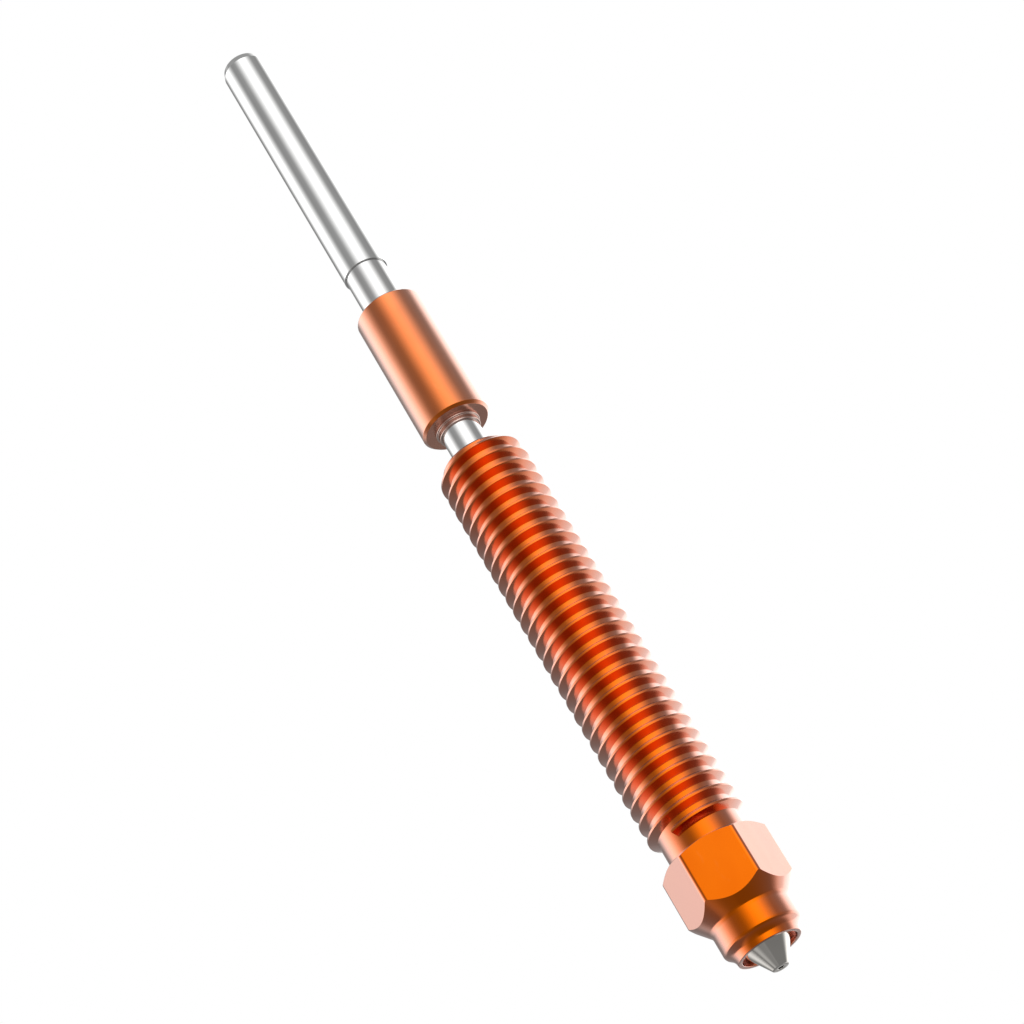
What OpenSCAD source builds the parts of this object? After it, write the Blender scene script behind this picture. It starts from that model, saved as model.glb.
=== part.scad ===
// Hotend assembly: a threaded copper nozzle body with a steel tip, on a thin
// heat-break tube that carries a copper heat-sink sleeve and a steel guide tube.
// Millimetres. +Z runs up the filament path, from the tip towards the inlet.
// The origin is the centre of the seat, the upper face of the wrench hex.

/* [Filament path] */
// Diameter of the filament bore
filament_bore_d = 2.0; // [1.9:0.05:2.1]
// Diameter of the orifice at the tip
orifice_d = 0.4; // [0.2:0.1:0.8]
// Distance from the seat down to the end of the filament bore, where it tapers
filament_bore_depth = 6.0; // [5:0.1:6.1]
// Included angle of the taper between the bore and the orifice
taper_angle = 60; // [60:1:90]

/* [Guide tube] */
// Outside diameter of the guide tube
guide_tube_d = 3.15; // [3:0.05:3.6]
// Length of the guide tube
guide_tube_l = 21.25; // [8:0.25:40]
// Width of the bevel around the guide tube's mouth
guide_bevel_w = 0.15; // [0.05:0.05:0.3]
// Length of the bevel around the guide tube's mouth
guide_bevel_l = 0.5; // [0.1:0.05:1]

/* [Heat-break tube] */
// Outside diameter of the tube between the body and the sleeve, the heat break itself
heat_break_d = 2.62; // [2.6:0.02:2.7]
// Outside diameter of the same tube inside and above the sleeve
stem_d = 2.93; // [2.8:0.01:2.95]
// Diameter of the spigot that the guide tube is welded over
spigot_d = 2.4; // [2.3:0.05:2.5]
// Length of the spigot
spigot_l = 3; // [1:0.5:6]
// Bare tube between the sleeve and the guide tube
upper_gap = 3.65; // [1:0.05:10]
// Distance from the body's upper end to the sleeve, where the tube is thinner
lower_gap = 2.95; // [1.5:0.05:6]
// Length of tube pressed into the body
pressed_l = 8; // [3:0.1:12]

/* [Heat-sink sleeve] */
// Outside diameter of the sleeve
sleeve_d = 4.72; // [4:0.02:7]
// Length of the sleeve
sleeve_l = 10.35; // [4:0.05:20]
// Bevel at both ends of the sleeve
sleeve_bevel = 0.18; // [0.04:0.02:0.4]

/* [Retaining collar] */
// Diameter of the collar's flange, against the sleeve
collar_flange_d = 3.1; // [3.1:0.05:3.6]
// Thickness of the collar's flange
collar_flange_l = 0.16; // [0.1:0.02:0.4]
// Diameter of the collar's lip, below its flange
collar_lip_d = 2.88; // [2.8:0.02:2.95]
// Thickness of the whole collar
collar_l = 0.5; // [0.5:0.05:1.2]

/* [Threaded body] */
// Height of the body above the seat
body_h = 30.05; // [15:0.05:40]
// Diameter over the thread's crests
thread_d = 5.9; // [5.8:0.02:5.96]
// Diameter at the thread's roots and of the plain neck under the thread
thread_root_d = 4.92; // [4.8:0.01:5]
// Axial width of the thread's crest
thread_crest_w = 0.125; // [0.08:0.005:0.2]
// Distance from one crest to the next
thread_pitch = 1; // [1:0.05:1.25]
// Height of the first crest above the seat
first_crest_z = 2.4; // [2.4:0.05:4]
// Diameter of the body's upper end, inside its bevel
body_mouth_d = 4.7; // [4:0.05:4.8]

/* [Wrench hex and skirt] */
// Hex size across the flats
hex_af = 5.95; // [5.8:0.05:7]
// Drop of the upper bevel at the hex's corners
hex_top_drop = 0.3; // [0.2:0.05:0.6]
// Distance from the seat down to the lower bevel at the hex's corners
hex_corner_l = 3.16; // [2:0.01:3.4]
// Distance from the seat down to the skirt's plain band
skirt_top = 4.4; // [4.3:0.05:4.6]
// Diameter of the skirt's plain band
skirt_d = 4.94; // [4.6:0.02:5.2]
// Distance from the seat down to the skirt's lower bevel
skirt_bevel_top = 5.78; // [5:0.02:5.9]
// Distance from the seat down to the lip, at the foot of the skirt's bevel
lip_top = 6.14; // [6:0.02:6.3]
// Distance from the seat down to the end of the lip
lip_depth = 6.55; // [6.4:0.05:6.8]
// Outside diameter of the lip
lip_outer_d = 4; // [3.8:0.02:4.2]
// Inside diameter of the lip and of the recess around the tip
lip_inner_d = 3.48; // [3.3:0.02:3.6]
// Distance from the seat down to the floor of the recess
recess_floor = 6; // [5:0.05:6.1]

/* [Tip] */
// Diameter of the tip's shank
tip_shank_d = 3; // [2.9:0.05:3.1]
// Distance from the seat down to the top of the shank
tip_top = 1.4; // [0.5:0.1:3]
// Distance from the seat down to the start of the tip's cone
cone_top = 6.2; // [5.8:0.02:6.4]
// Distance from the seat down to the end of the tip
tip_depth = 7.76; // [7.7:0.02:8.2]
// Diameter of the flat at the end of the tip
tip_flat_d = 1.02; // [0.9:0.02:1.2]

/* [Hidden] */
$fn = 64;

copper = [0.86, 0.47, 0.27];
bright_steel = [0.85, 0.85, 0.86];
titanium = [0.80, 0.80, 0.80];
collar_metal = [0.72, 0.58, 0.54];
tool_steel = [0.50, 0.49, 0.47];

bore_r = filament_bore_d / 2;
orifice_r = orifice_d / 2;
heat_break_r = heat_break_d / 2;
stem_r = stem_d / 2;

// Heights along the filament path, from the body's upper end to the inlet
sleeve_bottom = body_h + lower_gap;
sleeve_top = sleeve_bottom + sleeve_l;
shoulder = sleeve_top + upper_gap;
spigot_top = shoulder + spigot_l;
inlet = shoulder + guide_tube_l;
heat_break_bottom = body_h - pressed_l;

crest_r = thread_d / 2;
root_r = thread_root_d / 2;
flank_w = (crest_r - root_r) * tan(30);
crest_count = floor((body_h - first_crest_z) / thread_pitch) + 1;
body_mouth_r = body_mouth_d / 2;
// How far a cutting shape runs on beyond the surface it cuts
overcut = 1;

hex_corner_r = hex_af / 2 / cos(30);
taper_l = (bore_r - orifice_r) / tan(taper_angle / 2);

// A solid turned about the filament path from its outline
module turned(outline) {
    rotate_extrude() polygon(outline);
}

module guide_tube() {
    guide_r = guide_tube_d / 2;
    color(bright_steel) turned([
        [bore_r, spigot_top],
        [spigot_d / 2, spigot_top],
        [spigot_d / 2, shoulder],
        [guide_r, shoulder],
        [guide_r, inlet - guide_bevel_l],
        [guide_r - guide_bevel_w, inlet],
        [bore_r, inlet]
    ]);
}

module heat_break_tube() {
    color(titanium) turned([
        [bore_r, heat_break_bottom],
        [heat_break_r, heat_break_bottom],
        [heat_break_r, sleeve_bottom],
        [stem_r, sleeve_bottom],
        [stem_r, shoulder],
        [spigot_d / 2, shoulder],
        [spigot_d / 2, spigot_top],
        [bore_r, spigot_top]
    ]);
}

module heat_sink_sleeve() {
    sleeve_r = sleeve_d / 2;
    color(copper) turned([
        [stem_r, sleeve_bottom],
        [sleeve_r - sleeve_bevel, sleeve_bottom],
        [sleeve_r, sleeve_bottom + sleeve_bevel],
        [sleeve_r, sleeve_top - sleeve_bevel],
        [sleeve_r - sleeve_bevel, sleeve_top],
        [stem_r, sleeve_top]
    ]);
}

module retaining_collar() {
    color(collar_metal) turned([
        [heat_break_r, sleeve_bottom - collar_l],
        [collar_lip_d / 2, sleeve_bottom - collar_l],
        [collar_lip_d / 2, sleeve_bottom - collar_flange_l],
        [collar_flange_d / 2, sleeve_bottom - collar_flange_l],
        [collar_flange_d / 2, sleeve_bottom],
        [heat_break_r, sleeve_bottom]
    ]);
}

// One thread crest centred on height z, with flanks at 60 degrees to each other
function crest(z) = [
    [root_r, z - thread_crest_w / 2 - flank_w],
    [crest_r, z - thread_crest_w / 2],
    [crest_r, z + thread_crest_w / 2],
    [root_r, z + thread_crest_w / 2 + flank_w]
];

// The shank above the seat: a plain neck, the crests, and a bevel at the upper end
module threaded_shank() {
    crests = [
        for (i = [0 : crest_count - 1])
            each crest(first_crest_z + i * thread_pitch)
    ];
    bevel_l = crest_r + overcut - body_mouth_r;
    intersection() {
        turned(concat(
            [[0, 0], [root_r, 0]],
            crests,
            [[root_r, body_h + overcut], [0, body_h + overcut]]
        ));
        turned([
            [0, 0],
            [crest_r + overcut, 0],
            [crest_r + overcut, body_h - bevel_l],
            [body_mouth_r, body_h],
            [0, body_h]
        ]);
    }
}

// The wrench hex, bevelled at both ends down to the skirt
module hex_head() {
    intersection() {
        translate([0, 0, -skirt_top])
            cylinder(h = skirt_top, r = hex_corner_r, $fn = 6);
        turned([
            [0, 0],
            [hex_af / 2, 0],
            [hex_corner_r, -hex_top_drop],
            [hex_corner_r, -hex_corner_l],
            [skirt_d / 2, -skirt_top],
            [0, -skirt_top]
        ]);
    }
}

module skirt() {
    turned([
        [0, -skirt_top],
        [skirt_d / 2, -skirt_top],
        [skirt_d / 2, -skirt_bevel_top],
        [lip_outer_d / 2, -lip_top],
        [lip_outer_d / 2, -lip_depth],
        [0, -lip_depth]
    ]);
}

// Everything cut out of the body along the filament path
module body_bores() {
    turned([
        [0, -lip_depth - overcut],
        [lip_inner_d / 2, -lip_depth - overcut],
        [lip_inner_d / 2, -recess_floor],
        [tip_shank_d / 2, -recess_floor],
        [tip_shank_d / 2, -tip_top],
        [bore_r, -tip_top],
        [bore_r, heat_break_bottom],
        [heat_break_r, heat_break_bottom],
        [heat_break_r, body_h + overcut],
        [0, body_h + overcut]
    ]);
}

module nozzle_body() {
    color(copper) difference() {
        union() {
            threaded_shank();
            hex_head();
            skirt();
        }
        body_bores();
    }
}

module nozzle_tip() {
    color(tool_steel) turned([
        [bore_r, -tip_top],
        [bore_r, -filament_bore_depth],
        [orifice_r, -filament_bore_depth - taper_l],
        [orifice_r, -tip_depth],
        [tip_flat_d / 2, -tip_depth],
        [tip_shank_d / 2, -cone_top],
        [tip_shank_d / 2, -tip_top]
    ]);
}

guide_tube();
heat_break_tube();
heat_sink_sleeve();
retaining_collar();
nozzle_body();
nozzle_tip();
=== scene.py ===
# Hotend assembly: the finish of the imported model. Six turned pieces, one of them with a true
# helical thread and a wrench hex, in polished copper and steel, under plain studio light.
import math

import bmesh
import bpy
from mathutils import Matrix, Vector


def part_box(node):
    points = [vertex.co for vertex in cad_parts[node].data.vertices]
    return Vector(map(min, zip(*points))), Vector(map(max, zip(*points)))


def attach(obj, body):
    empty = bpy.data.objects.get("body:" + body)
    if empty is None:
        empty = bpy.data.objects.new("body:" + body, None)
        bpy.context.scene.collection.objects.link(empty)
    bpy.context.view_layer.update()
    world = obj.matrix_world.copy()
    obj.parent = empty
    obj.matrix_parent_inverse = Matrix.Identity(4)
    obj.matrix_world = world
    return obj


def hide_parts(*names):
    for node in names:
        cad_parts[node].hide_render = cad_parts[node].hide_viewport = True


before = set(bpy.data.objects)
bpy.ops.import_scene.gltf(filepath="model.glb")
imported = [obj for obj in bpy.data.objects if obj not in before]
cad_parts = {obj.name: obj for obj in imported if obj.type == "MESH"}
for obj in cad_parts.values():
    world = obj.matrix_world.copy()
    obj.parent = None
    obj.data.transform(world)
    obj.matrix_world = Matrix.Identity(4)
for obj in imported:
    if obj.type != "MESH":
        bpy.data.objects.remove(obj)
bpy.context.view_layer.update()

MM = 0.001


# ---------------------------------------------------------------- sizes from the frame

def low(node):
    """Height of a CAD node's lower end."""
    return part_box(node)[0][2]


def high(node):
    """Height of a CAD node's upper end."""
    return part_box(node)[1][2]


def radius(node):
    """Largest radius of a turned CAD node."""
    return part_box(node)[1][1]


INLET = high("guide_tube")
SHOULDER = low("guide_tube")
SPIGOT_TOP = high("heat_break_tube")
PRESS_END = low("heat_break_tube")
SLEEVE_TOP = high("heat_sink_sleeve")
SLEEVE_END = low("heat_sink_sleeve")
COLLAR_END = low("retaining_collar")
BODY_TOP = high("nozzle_body")
LIP_END = low("nozzle_body")
TIP_END = low("nozzle_tip")
SHANK_TOP = high("nozzle_tip")

GUIDE_R = radius("guide_tube")
STEM_R = radius("heat_break_tube")
SLEEVE_R = radius("heat_sink_sleeve")
FLANGE_R = radius("retaining_collar")
SHANK_R = radius("nozzle_tip")
HEX_FLAT_R = radius("nozzle_body")

# ---------------------------------------------------------------- sizes that no box gives

BORE_R = 1.0 * MM
ORIFICE_R = 0.2 * MM
SPIGOT_R = 1.2 * MM
BREAK_R = 1.31 * MM
GUIDE_BEVEL_W = 0.15 * MM
GUIDE_BEVEL_L = 0.5 * MM
SLEEVE_BEVEL = 0.18 * MM
FLANGE_L = 0.16 * MM
COLLAR_LIP_R = 1.44 * MM

CREST_R = 2.95 * MM
ROOT_R = 2.46 * MM
CREST_W = 0.125 * MM
PITCH = 1.0 * MM
FLANK_ANGLE = math.radians(30)
MOUTH_R = 2.35 * MM
CREST_AT_FRONT = 1.39 * MM

SEAT_R = 2.93 * MM
SEAT_SLOPE = 0.6
HEX_STEP = math.radians(60)
HEX_HALF = HEX_STEP / 2
HEX_CORNER_R = HEX_FLAT_R / math.cos(HEX_HALF)
HEX_CORNER_END = -3.2 * MM
SKIRT_TOP = -4.4 * MM
SKIRT_R = 2.47 * MM
SKIRT_BEVEL_TOP = -5.78 * MM
LIP_TOP = -6.14 * MM
LIP_OUTER_R = 2.0 * MM
LIP_INNER_R = 1.74 * MM
RECESS_FLOOR = -6.0 * MM

BORE_END = -6.0 * MM
TAPER_HALF_ANGLE = math.radians(30)
TAPER_L = (BORE_R - ORIFICE_R) / math.tan(TAPER_HALF_ANGLE)
CONE_TOP = -6.2 * MM
TIP_FLAT_R = 0.51 * MM

# Small rounds that a turned or milled edge has
CRISP = 0.008 * MM
SHARP = 0.02 * MM
FINE = 0.04 * MM
SOFT = 0.08 * MM
HEX_EDGE = 0.28 * MM
HEX_FILLET = 0.5 * MM
SKIRT_EDGE = 0.32 * MM
LIP_FILLET = 0.74 * MM

ARC_STEPS = 3
TURNED_COLUMNS = 120
BODY_COLUMNS = 144


# ---------------------------------------------------------------- mesh building

def rounded(corners, closed=True, steps=ARC_STEPS):
    """An outline's (r, z) points from corners (r, z, rounding), each rounding put in as an arc."""
    points = []
    count = len(corners)
    for i, (r, z, rounding) in enumerate(corners):
        corner = Vector((r, z))
        at_end = not closed and i in (0, count - 1)
        if at_end or rounding == 0:
            points.append(corner)
            continue
        back = (Vector(corners[i - 1][:2]) - corner).normalized()
        ahead = (Vector(corners[(i + 1) % count][:2]) - corner).normalized()
        half = back.angle(ahead) / 2
        centre = corner + (back + ahead).normalized() * rounding / math.sin(half)
        start = corner + back * rounding / math.tan(half) - centre
        end = corner + ahead * rounding / math.tan(half) - centre
        turn = math.pi - 2 * half
        for step in range(steps + 1):
            share = step / steps
            point = start * math.sin((1 - share) * turn) + end * math.sin(share * turn)
            points.append(centre + point / math.sin(turn))
    return points


def on_hex(point):
    """Whether a point is on the wrench hex, the only part that isn't turned."""
    return SKIRT_TOP < point.z < 0 and point.xy.length > SEAT_R


def smooth_normals(mesh):
    """Each point's normal from the faces that meet there, by area, and square to the turning on turned parts.
    The thread's flat start is the only face with many corners, and it keeps its own normal."""
    normals = [Vector() for _ in mesh.vertices]
    flat = [len(face.vertices) > 5 for face in mesh.polygons]
    for face in mesh.polygons:
        if flat[face.index]:
            continue
        for i in face.vertices:
            normals[i] += face.normal * face.area
    for vertex in mesh.vertices:
        normal = normals[vertex.index].normalized()
        if not on_hex(vertex.co):
            outward = Vector((vertex.co.x, vertex.co.y, 0)).normalized()
            side = math.copysign(normal.xy.length, normal.dot(outward))
            normal = Vector((outward.x * side, outward.y * side, normal.z))
        normals[vertex.index] = normal
    corners = [Vector() for _ in mesh.loops]
    for face in mesh.polygons:
        for corner, i in zip(face.loop_indices, face.vertices):
            corners[corner] = face.normal.copy() if flat[face.index] else normals[i]
    mesh.normals_split_custom_set(corners)


class Skin:
    """The points and faces of one closed surface round the filament path."""

    def __init__(self):
        self.points = []
        self.faces = []

    def point(self, r, angle, z):
        self.points.append((r * math.cos(angle), r * math.sin(angle), z))
        return len(self.points) - 1

    def face(self, *corners):
        """Adds a face, without the corners that fall on each other."""
        kept = [c for i, c in enumerate(corners) if c != corners[i - 1]]
        if len(kept) > 2:
            self.faces.append(kept)

    def strip(self, left, right):
        """Adds the faces between two columns of as many points."""
        for j in range(len(left) - 1):
            self.face(left[j], right[j], right[j + 1], left[j + 1])

    def piece(self, node, material):
        """Makes the object that stands for a CAD node."""
        mesh = bpy.data.meshes.new(node + "_turned")
        mesh.from_pydata(self.points, [], self.faces)
        work = bmesh.new()
        work.from_mesh(mesh)
        bmesh.ops.recalc_face_normals(work, faces=work.faces)
        work.to_mesh(mesh)
        work.free()
        mesh.shade_smooth()
        smooth_normals(mesh)
        mesh.materials.append(material)
        made = bpy.data.objects.new(node + "_turned", mesh)
        bpy.context.scene.collection.objects.link(made)
        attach(made, "root")
        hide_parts(node)
        return made


def turned(node, material, corners):
    """A piece turned from its closed outline."""
    outline = rounded(corners)
    skin = Skin()
    columns = []
    for i in range(TURNED_COLUMNS):
        angle = 2 * math.pi * i / TURNED_COLUMNS
        column = [skin.point(p[0], angle, p[1]) for p in outline]
        columns.append(column + column[:1])
    for i, column in enumerate(columns):
        skin.strip(columns[i - 1], column)
    return skin.piece(node, material)


# ---------------------------------------------------------------- threaded body

CORNER_REACH = HEX_HALF - math.atan((HEX_FLAT_R - HEX_EDGE) * math.tan(HEX_HALF) / HEX_FLAT_R)

# Columns round each of the hex's rounded corners, as shares of half the rounding's angle
CORNER_COLUMNS = (-1.1, -1, -0.5, 0.5, 1, 1.1)

# The thread starts with a flat cut, close to the hex corner to the left of the front face
FRONT = -math.pi / 2
THREAD_START = FRONT - math.radians(28.25)
START_STEP = 0.003
FIRST_CREST = CREST_AT_FRONT + (THREAD_START - FRONT) / (2 * math.pi) * PITCH
FLANK_W = (CREST_R - ROOT_R) * math.tan(FLANK_ANGLE)
BEVEL_FOOT = BODY_TOP - (ROOT_R - MOUTH_R)
NECK_FOOT = 0.3 * MM
TURNS = math.ceil((BEVEL_FOOT - FIRST_CREST) / PITCH) + 1


def hex_radius(angle):
    """Distance from the axis to the hex's wall, whose corners are rounded."""
    off = (angle + HEX_HALF) % HEX_STEP - HEX_HALF
    centre = (HEX_FLAT_R - HEX_EDGE) / math.cos(HEX_HALF)
    if abs(off) <= CORNER_REACH:
        return centre * math.cos(off) + math.sqrt(HEX_EDGE ** 2 - (centre * math.sin(off)) ** 2)
    return HEX_FLAT_R / math.cos(HEX_HALF - abs(off))


def body_angles():
    """Angles of the body's columns from the thread's start, closer together round the hex's corners."""
    angles = {2 * math.pi * i / BODY_COLUMNS for i in range(BODY_COLUMNS)}
    for corner in range(6):
        for share in CORNER_COLUMNS:
            angles.add(corner * HEX_STEP + share * CORNER_REACH)
    from_start = {round((angle - THREAD_START) % (2 * math.pi), 6) for angle in angles}
    return sorted(from_start | {0.0, START_STEP})


def ridge():
    """One pitch of the thread as (height from the crest's middle, radius), without its last point."""
    half = CREST_W / 2
    corners = [
        (-PITCH / 2, ROOT_R, 0),
        (-half - FLANK_W, ROOT_R, FINE),
        (-half, CREST_R, CRISP),
        (half, CREST_R, CRISP),
        (half + FLANK_W, ROOT_R, FINE),
        (PITCH / 2, ROOT_R, 0),
    ]
    return rounded(corners, closed=False, steps=2)[:-1]


def plain_outline(angle):
    """The body's outline at one angle from the thread's upper end, through the bore, to the neck."""
    wall = hex_radius(angle)
    hex_top = -(wall - SEAT_R) * SEAT_SLOPE
    lower_slope = (HEX_CORNER_END - SKIRT_TOP) / (HEX_CORNER_R - SKIRT_R)
    hex_end = HEX_CORNER_END - (HEX_CORNER_R - wall) * lower_slope
    return rounded([
        (ROOT_R, BEVEL_FOOT, 0),
        (MOUTH_R, BODY_TOP, FINE),
        (BREAK_R, BODY_TOP, SOFT),
        (BREAK_R, PRESS_END, 0),
        (BORE_R, PRESS_END, 0),
        (BORE_R, SHANK_TOP, 0),
        (SHANK_R, SHANK_TOP, 0),
        (SHANK_R, RECESS_FLOOR, SHARP),
        (LIP_INNER_R, RECESS_FLOOR, SOFT),
        (LIP_INNER_R, LIP_END, FINE),
        (LIP_OUTER_R, LIP_END, FINE),
        (LIP_OUTER_R, LIP_TOP, LIP_FILLET),
        (SKIRT_R, SKIRT_BEVEL_TOP, SKIRT_EDGE),
        (SKIRT_R, SKIRT_TOP, HEX_FILLET),
        (wall, hex_end, SHARP),
        (wall, hex_top, SHARP),
        (SEAT_R, 0, SHARP),
        (ROOT_R, 0, SOFT),
        (ROOT_R, NECK_FOOT, 0),
    ], closed=False)


def thread_column(skin, angle, top):
    """The thread's points at one angle from its start, from the neck up, ending in points on top."""
    points = []
    for turn in range(TURNS):
        for above, r in ridge():
            z = FIRST_CREST + (turn + angle / (2 * math.pi)) * PITCH + above
            if z >= BEVEL_FOOT:
                points.append(top)
                continue
            r = min(r, MOUTH_R + BODY_TOP - z)
            points.append(skin.point(r, THREAD_START + angle, z))
    return points


def nozzle_body(material):
    """The body: one skin whose thread columns meet one pitch apart where they close the circle."""
    skin = Skin()
    plain = []
    thread = []
    for angle in body_angles():
        around = THREAD_START + angle
        outline = plain_outline(around)
        column = [skin.point(p[0], around, p[1]) for p in outline]
        plain.append(column)
        thread.append(thread_column(skin, angle, column[0]))
    for i, column in enumerate(plain):
        skin.strip(plain[i - 1], column)
    for i in range(1, len(thread)):
        left = [plain[i - 1][-1], *thread[i - 1], plain[i - 1][0]]
        right = [plain[i][-1], *thread[i], plain[i][0]]
        skin.strip(left, right)
    rows = len(ridge())
    first, last = thread[0], thread[-1]
    skin.strip(last[:-rows] + [plain[-1][0]], first[rows:] + [plain[0][0]])
    skin.face(*first[:rows + 1])
    skin.face(plain[-1][-1], plain[0][-1], first[0], first[rows], last[0])
    return skin.piece("nozzle_body", material)


# ---------------------------------------------------------------- metals

class Nodes:
    """Short calls for making a node tree."""

    def __init__(self, tree):
        self.tree = tree
        tree.nodes.clear()

    def add(self, kind, **settings):
        node = self.tree.nodes.new(kind)
        for name, value in settings.items():
            setattr(node, name, value)
        return node

    def link(self, source, target):
        self.tree.links.new(source, target)

    def maths(self, operation, first, second=None):
        """The output of a Math node. An input is a number or another node's output."""
        node = self.add("ShaderNodeMath", operation=operation)
        for socket, value in zip(node.inputs, (first, second)):
            if isinstance(value, (int, float)):
                socket.default_value = value
            elif value is not None:
                self.link(value, socket)
        return node.outputs[0]

    def noise(self, vector, scale, detail=2.0):
        """A noise value over coordinates that are scaled along each axis."""
        mapping = self.add("ShaderNodeMapping")
        mapping.inputs["Scale"].default_value = scale
        self.link(vector, mapping.inputs["Vector"])
        noise = self.add("ShaderNodeTexNoise")
        noise.inputs["Scale"].default_value = 1.0
        noise.inputs["Detail"].default_value = detail
        self.link(mapping.outputs["Vector"], noise.inputs["Vector"])
        return noise.outputs["Fac"]

    def spread(self, value, low_in, high_in, low_out, high_out, way="LINEAR"):
        """A value taken from one range to another, and held inside it."""
        node = self.add("ShaderNodeMapRange", interpolation_type=way)
        limits = (low_in, high_in, low_out, high_out)
        self.link(value, node.inputs["Value"])
        for socket, limit in zip(list(node.inputs)[1:5], limits):
            socket.default_value = limit
        return node.outputs["Result"]

    def mixed(self, share, first, second):
        """Two colours mixed. Each is a colour or another node's output."""
        node = self.add("ShaderNodeMix", data_type="RGBA")
        self.link(share, node.inputs["Factor"])
        for socket, value in ((node.inputs[6], first), (node.inputs[7], second)):
            if isinstance(value, tuple):
                socket.default_value = (*value, 1.0)
            else:
                self.link(value, socket)
        return node.outputs[2]


# How often the metals' marks repeat in a metre, across the axis twice and along it
RING_SCALE = (250, 250, 9000)
PATCH_SCALE = (420, 420, 260)
SMEAR_SCALE = (1600, 1600, 500)
SPECK_SCALE = (2600, 2600, 900)

RING_DEPTH = 0.0006 * MM
RING_STRENGTH = 0.5
SPECK_SHARE = 0.12
GLOSS_SHARE = 0.57


def metal(name, colour, deep, worn, roughness, rim=None):
    """A turned metal: fine turning lines, patches of deeper colour, worn specks and, with rim, a paler gloss
    towards its edges."""
    material = bpy.data.materials.new(name)
    material.use_nodes = True
    n = Nodes(material.node_tree)
    place = n.add("ShaderNodeTexCoord").outputs["Object"]

    rings = n.noise(place, RING_SCALE, detail=3.0)
    patches = n.noise(place, PATCH_SCALE)
    smears = n.noise(place, SMEAR_SCALE, detail=4.0)
    specks = n.spread(n.noise(place, SPECK_SCALE, detail=4.0), 0.64, 0.8, 0.0, SPECK_SHARE)

    tint = n.mixed(n.spread(patches, 0.38, 0.68, 0.0, 1.0), colour, deep)
    tint = n.mixed(specks, tint, worn)
    rough = n.spread(smears, 0.3, 0.7, roughness[0], roughness[1])

    bump = n.add("ShaderNodeBump")
    bump.inputs["Strength"].default_value = RING_STRENGTH
    bump.inputs["Distance"].default_value = RING_DEPTH
    n.link(rings, bump.inputs["Height"])

    base = n.add("ShaderNodeBsdfPrincipled")
    base.inputs["Metallic"].default_value = 1.0
    n.link(tint, base.inputs["Base Color"])
    n.link(rough, base.inputs["Roughness"])
    n.link(bump.outputs["Normal"], base.inputs["Normal"])
    surface = base.outputs["BSDF"]

    if rim is not None:
        gloss = n.add("ShaderNodeBsdfPrincipled")
        gloss.inputs["Metallic"].default_value = 1.0
        gloss.inputs["Base Color"].default_value = (*rim, 1.0)
        n.link(rough, gloss.inputs["Roughness"])
        n.link(bump.outputs["Normal"], gloss.inputs["Normal"])
        facing = n.add("ShaderNodeLayerWeight")
        facing.inputs["Blend"].default_value = 0.5
        share = n.spread(facing.outputs["Facing"], 0.03, 0.75, 0.0, GLOSS_SHARE, "SMOOTHSTEP")
        mix = n.add("ShaderNodeMixShader")
        n.link(share, mix.inputs["Fac"])
        n.link(surface, mix.inputs[1])
        n.link(gloss.outputs["BSDF"], mix.inputs[2])
        surface = mix.outputs["Shader"]

    out = n.add("ShaderNodeOutputMaterial")
    n.link(surface, out.inputs["Surface"])
    return material


COPPER_RIM = (0.64, 0.63, 0.62)

body_copper = metal(
    "body_copper",
    colour=(0.64, 0.12, 0.002),
    deep=(0.61, 0.108, 0.0016),
    worn=(0.7, 0.25, 0.08),
    roughness=(0.12, 0.2),
    rim=COPPER_RIM,
)
sleeve_copper = metal(
    "sleeve_copper",
    colour=(0.64, 0.15, 0.02),
    deep=(0.61, 0.134, 0.016),
    worn=(0.7, 0.26, 0.1),
    roughness=(0.16, 0.24),
    rim=COPPER_RIM,
)
guide_steel = metal(
    "guide_steel",
    colour=(0.66, 0.66, 0.655),
    deep=(0.62, 0.62, 0.615),
    worn=(0.72, 0.72, 0.72),
    roughness=(0.05, 0.1),
)
break_titanium = metal(
    "break_titanium",
    colour=(0.65, 0.645, 0.64),
    deep=(0.615, 0.61, 0.605),
    worn=(0.72, 0.72, 0.72),
    roughness=(0.06, 0.12),
)
collar_metal = metal(
    "collar_metal",
    colour=(0.62, 0.48, 0.43),
    deep=(0.58, 0.44, 0.39),
    worn=(0.66, 0.57, 0.53),
    roughness=(0.12, 0.2),
)
tip_steel = metal(
    "tip_steel",
    colour=(0.6, 0.575, 0.54),
    deep=(0.54, 0.515, 0.48),
    worn=(0.66, 0.65, 0.64),
    roughness=(0.06, 0.12),
)


# ---------------------------------------------------------------- pieces

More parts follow.
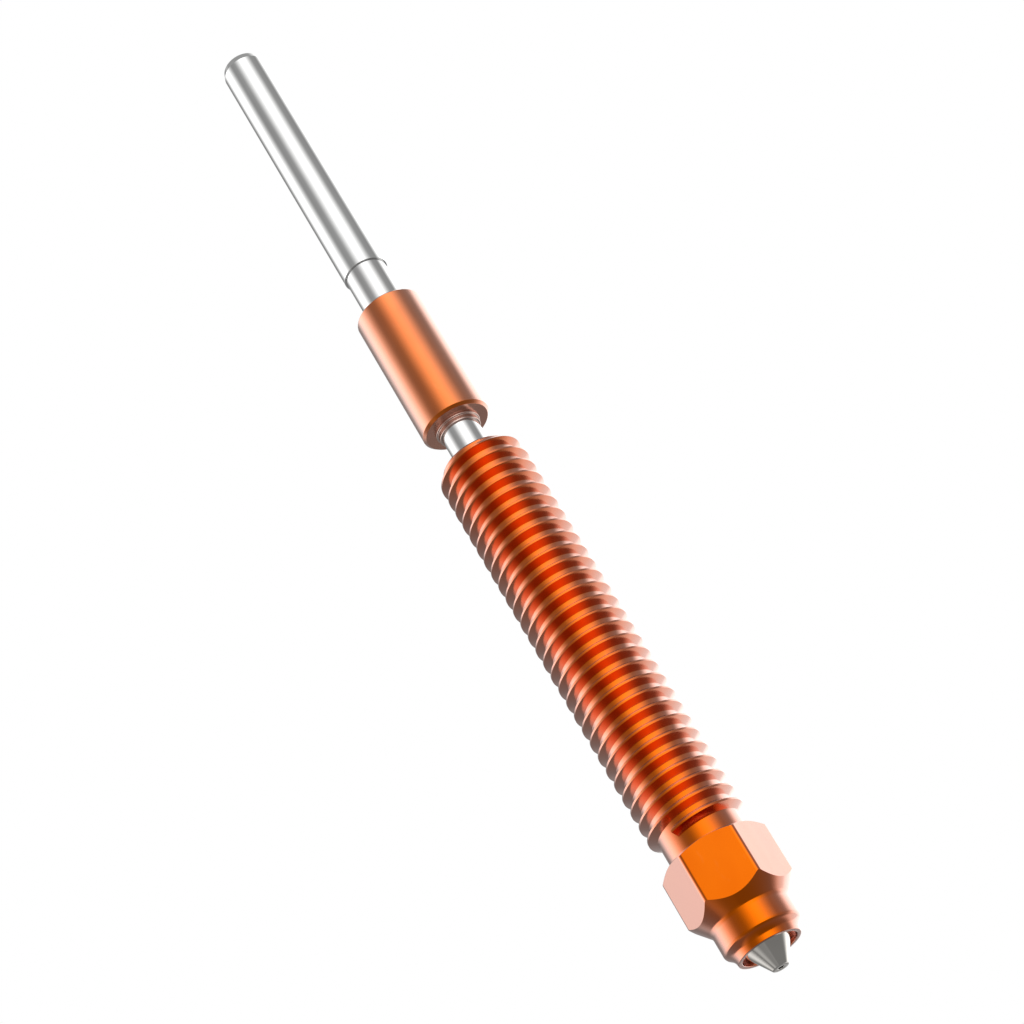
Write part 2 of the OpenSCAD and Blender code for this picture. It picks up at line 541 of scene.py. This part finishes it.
turned("guide_tube", guide_steel, [
    (BORE_R, SPIGOT_TOP, SHARP),
    (SPIGOT_R, SPIGOT_TOP, SHARP),
    (SPIGOT_R, SHOULDER, SHARP),
    (GUIDE_R, SHOULDER, SHARP),
    (GUIDE_R, INLET - GUIDE_BEVEL_L, SOFT),
    (GUIDE_R - GUIDE_BEVEL_W, INLET, FINE),
    (BORE_R, INLET, FINE),
])
turned("heat_break_tube", break_titanium, [
    (BORE_R, PRESS_END, SHARP),
    (BREAK_R, PRESS_END, SHARP),
    (BREAK_R, SLEEVE_END, SHARP),
    (STEM_R, SLEEVE_END, SHARP),
    (STEM_R, SHOULDER, SHARP),
    (SPIGOT_R, SHOULDER, SHARP),
    (SPIGOT_R, SPIGOT_TOP, SHARP),
    (BORE_R, SPIGOT_TOP, SHARP),
])
turned("heat_sink_sleeve", sleeve_copper, [
    (STEM_R, SLEEVE_END, SHARP),
    (SLEEVE_R - SLEEVE_BEVEL, SLEEVE_END, FINE),
    (SLEEVE_R, SLEEVE_END + SLEEVE_BEVEL, FINE),
    (SLEEVE_R, SLEEVE_TOP - SLEEVE_BEVEL, FINE),
    (SLEEVE_R - SLEEVE_BEVEL, SLEEVE_TOP, FINE),
    (STEM_R, SLEEVE_TOP, FINE),
])
turned("retaining_collar", collar_metal, [
    (BREAK_R, COLLAR_END, SHARP),
    (COLLAR_LIP_R, COLLAR_END, FINE),
    (COLLAR_LIP_R, SLEEVE_END - FLANGE_L, SHARP),
    (FLANGE_R, SLEEVE_END - FLANGE_L, FINE),
    (FLANGE_R, SLEEVE_END, SHARP),
    (BREAK_R, SLEEVE_END, SHARP),
])
turned("nozzle_tip", tip_steel, [
    (BORE_R, SHANK_TOP, 0),
    (BORE_R, BORE_END, 0),
    (ORIFICE_R, BORE_END - TAPER_L, 0),
    (ORIFICE_R, TIP_END, FINE),
    (TIP_FLAT_R, TIP_END, SOFT),
    (SHANK_R, CONE_TOP, FINE),
    (SHANK_R, SHANK_TOP, 0),
])
nozzle_body(body_copper)

# ---------------------------------------------------------------- camera

# The camera stands in front of the object, a little to its left and below its middle, turned on its own axis
LENS = 77.66
SENSOR = 36
CAMERA_DISTANCE = 137.68 * MM
CAMERA_BELOW = math.radians(29.25)
CAMERA_LEFT = math.radians(0.3)
CAMERA_ROLL = math.radians(30.966)
AIM = Vector((0.19 * MM, 0, 25.58 * MM))


def add_camera():
    ahead = Vector((math.sin(CAMERA_LEFT), math.cos(CAMERA_LEFT), 0))
    look = ahead * math.cos(CAMERA_BELOW) + Vector((0, 0, math.sin(CAMERA_BELOW)))
    level_right = Vector((math.cos(CAMERA_LEFT), -math.sin(CAMERA_LEFT), 0))
    level_up = level_right.cross(look)
    up = level_up * math.cos(CAMERA_ROLL) + level_right * math.sin(CAMERA_ROLL)
    right = level_right * math.cos(CAMERA_ROLL) - level_up * math.sin(CAMERA_ROLL)
    data = bpy.data.cameras.new("camera")
    data.lens = LENS
    data.sensor_width = SENSOR
    data.clip_start = 10 * MM
    camera = bpy.data.objects.new("camera", data)
    turn = Matrix((right, up, -look)).transposed().to_4x4()
    camera.matrix_world = Matrix.Translation(AIM - look * CAMERA_DISTANCE) @ turn
    bpy.context.scene.collection.objects.link(camera)
    bpy.context.scene.camera = camera


add_camera()

# ---------------------------------------------------------------- floor and light

FLOOR_Z = LIP_END - 120 * MM
FLOOR_HALF = 5.0
FLOOR_GLOW = 0.14

# The studio walls' softboxes and the dark gaps between them: azimuth in degrees from the front, to the
# right, and brightness
WALLS = [
    (-180, 1.3),
    (-170, 0.36),
    (-148, 0.3),
    (-96, 2.2),
    (-44, 0.4),
    (-31, 0.43),
    (21, 2.05),
    (71, 0.42),
    (92, 0.39),
    (124, 1.9),
    (168, 1.85),
    (180, 1.3),
]
LEVEL_BELOW = 0.28
LEVEL_ABOVE = 0.46

# Where the walls fade into the levels below and above, as the z of a unit direction
LOWER_FADE = (-0.53, -0.43)
UPPER_FADE = (0.75, 0.9)
# How much higher the lower fade lies at the back
BACK_RISE = 0.25
# Two opposite corners, right back and left front, are partly lit down to the floor. They fade in as the
# product of x and y grows.
CORNER_FADE = (0.05, 0.3)
CORNER_SHARE = 0.65

FLOOR_SHADES = ((0.9, 0.9, 0.9), (0.87, 0.87, 0.87))
FLOOR_PATCH_SCALE = (9, 9, 9)


def add_floor():
    """A plain floor well below the object, as pale as the backdrop. Only the walls show in the metals."""
    mesh = bpy.data.meshes.new("floor")
    corners = [(x * FLOOR_HALF, y * FLOOR_HALF, FLOOR_Z) for x, y in ((-1, -1), (1, -1), (1, 1), (-1, 1))]
    mesh.from_pydata(corners, [], [(0, 1, 2, 3)])
    material = bpy.data.materials.new("floor_paint")
    material.use_nodes = True
    n = Nodes(material.node_tree)
    paint = n.add("ShaderNodeBsdfDiffuse")
    place = n.add("ShaderNodeTexCoord").outputs["Object"]
    n.link(n.mixed(n.noise(place, FLOOR_PATCH_SCALE), *FLOOR_SHADES), paint.inputs["Color"])
    glow = n.add("ShaderNodeEmission")
    glow.inputs["Strength"].default_value = FLOOR_GLOW
    both = n.add("ShaderNodeAddShader")
    n.link(paint.outputs["BSDF"], both.inputs[0])
    n.link(glow.outputs["Emission"], both.inputs[1])
    out = n.add("ShaderNodeOutputMaterial")
    n.link(both.outputs["Shader"], out.inputs["Surface"])
    mesh.materials.append(material)
    floor = bpy.data.objects.new("floor", mesh)
    bpy.context.scene.collection.objects.link(floor)
    floor.visible_glossy = False


def add_walls():
    """White behind the object; round it, studio walls with darker stretches that the metals reflect."""
    world = bpy.data.worlds.new("studio")
    bpy.context.scene.world = world
    world.use_nodes = True
    n = Nodes(world.node_tree)
    way = n.add("ShaderNodeSeparateXYZ")
    n.link(n.add("ShaderNodeTexCoord").outputs["Generated"], way.inputs["Vector"])
    x, y, z = way.outputs
    azimuth = n.maths("ARCTAN2", x, n.maths("MULTIPLY", y, -1.0))
    brightest = max(level for _, level in WALLS)

    def grey(level):
        share = level / brightest
        return (share, share, share)

    ramp = n.add("ShaderNodeValToRGB")
    ramp.color_ramp.interpolation = "EASE"
    stops = ramp.color_ramp.elements
    while len(stops) < len(WALLS):
        stops.new(0.5)
    for stop, (degrees, _) in zip(stops, WALLS):
        stop.position = (degrees + 180) / 360
    for stop, (_, level) in zip(stops, WALLS):
        stop.color = (*grey(level), 1.0)
    n.link(n.spread(azimuth, -math.pi, math.pi, 0.0, 1.0), ramp.inputs["Fac"])

    height = n.maths("SUBTRACT", z, n.maths("MULTIPLY", n.maths("MAXIMUM", y, 0.0), BACK_RISE))
    corners = n.spread(n.maths("MULTIPLY", x, y), *CORNER_FADE, 0.0, CORNER_SHARE)
    lit = n.maths("MAXIMUM", n.spread(height, *LOWER_FADE, 0.0, 1.0), corners)
    colour = n.mixed(lit, grey(LEVEL_BELOW), ramp.outputs["Color"])
    colour = n.mixed(n.spread(z, *UPPER_FADE, 0.0, 1.0), colour, grey(LEVEL_ABOVE))

    walls = n.add("ShaderNodeBackground")
    walls.inputs["Strength"].default_value = brightest
    n.link(colour, walls.inputs["Color"])
    backdrop = n.add("ShaderNodeBackground")
    backdrop.inputs["Color"].default_value = (1.0, 1.0, 1.0, 1.0)
    mix = n.add("ShaderNodeMixShader")
    n.link(n.add("ShaderNodeLightPath").outputs["Is Camera Ray"], mix.inputs["Fac"])
    n.link(walls.outputs["Background"], mix.inputs[1])
    n.link(backdrop.outputs["Background"], mix.inputs[2])
    out = n.add("ShaderNodeOutputWorld")
    n.link(mix.outputs["Shader"], out.inputs["Surface"])


add_floor()
add_walls()
bpy.context.scene.view_settings.view_transform = "Standard"
